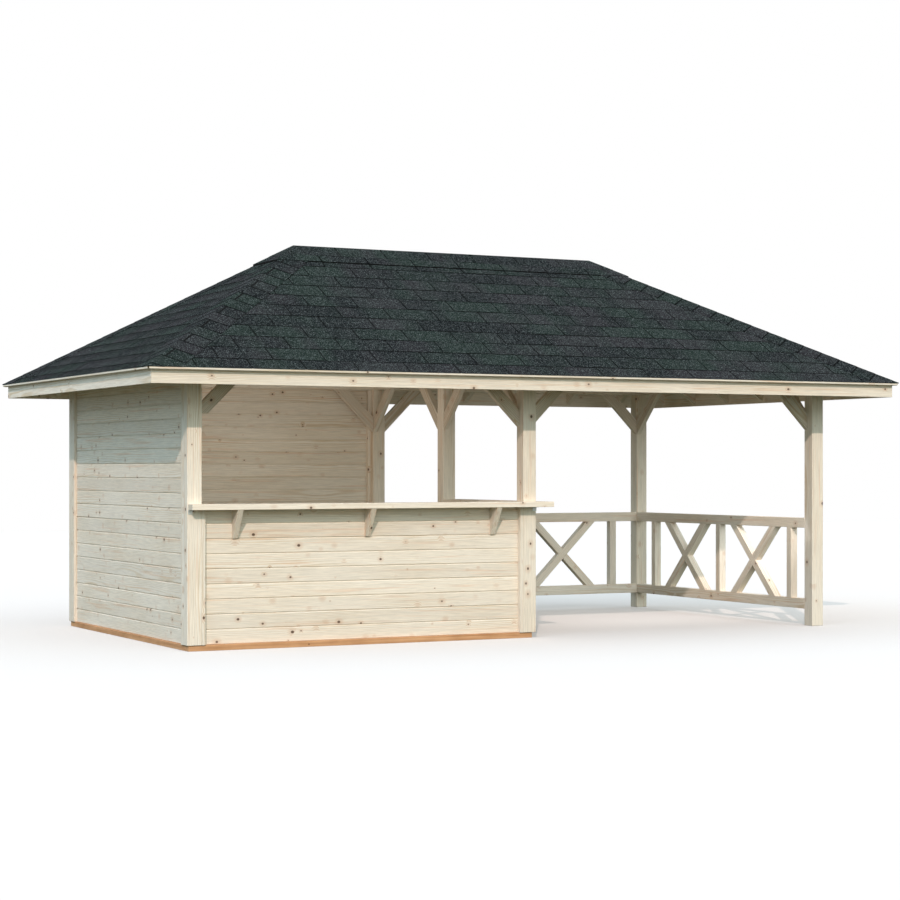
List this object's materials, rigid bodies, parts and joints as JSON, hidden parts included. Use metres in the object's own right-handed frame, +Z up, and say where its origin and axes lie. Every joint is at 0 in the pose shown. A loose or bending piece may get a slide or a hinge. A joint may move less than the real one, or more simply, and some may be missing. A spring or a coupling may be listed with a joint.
{
  "type": "garden gazebo",
  "caption": "Timber garden gazebo: a hipped shingle roof on posts, a boarded bar room with counters on one side, a railed open bay on the other.",
  "frame": {"origin": "on the ground at the centre of the plan, under the middle of the ridge", "axes": "+X along the ridge from the bar room to the open bay, -Y to the front with the long counter, +Z up"},
  "size_m": [7.001, 4.112, 3.3659],
  "materials": {
    "planed_spruce": "planed, untreated, satin",
    "impregnated_base": "pressure impregnated, brown, matt",
    "bitumen_shingles": "mineral granules on bitumen felt, matt"
  },
  "bodies": {
    "root": {"back_railing": "planed_spruce", "back_wall": "planed_spruce", "base_frame": "impregnated_base", "beam_back": "planed_spruce", "beam_front": "planed_spruce", "beam_left": "planed_spruce", "beam_right": "planed_spruce", "braces_back": "planed_spruce", "braces_front": "planed_spruce", "braces_right": "planed_spruce", "braces_tie": "planed_spruce", "fascia_back": "planed_spruce", "fascia_front": "planed_spruce", "fascia_left": "planed_spruce", "fascia_right": "planed_spruce", "front_counter_wall": "planed_spruce", "front_shelf": "planed_spruce", "hip_rafters": "planed_spruce", "left_wall": "planed_spruce", "post_back_left": "planed_spruce", "post_back_middle": "planed_spruce", "post_back_right": "planed_spruce", "post_centre": "planed_spruce", "post_front_left": "planed_spruce", "post_front_middle": "planed_spruce", "post_front_right": "planed_spruce", "rafters_back": "planed_spruce", "rafters_front": "planed_spruce", "rafters_left": "planed_spruce", "rafters_right": "planed_spruce", "ridge_board": "planed_spruce", "ridge_cap": "bitumen_shingles", "right_railing": "planed_spruce", "roof_boards_back": "planed_spruce", "roof_boards_front": "planed_spruce", "roof_boards_left": "planed_spruce", "roof_boards_right": "planed_spruce", "shelf_brackets": "planed_spruce", "shingles_back": "bitumen_shingles", "shingles_front": "bitumen_shingles", "shingles_left": "bitumen_shingles", "shingles_right": "bitumen_shingles", "side_counter_wall": "planed_spruce", "side_shelf": "planed_spruce", "tie_beam": "planed_spruce", "wall_battens": "planed_spruce"}
  },
  "joints": []
}
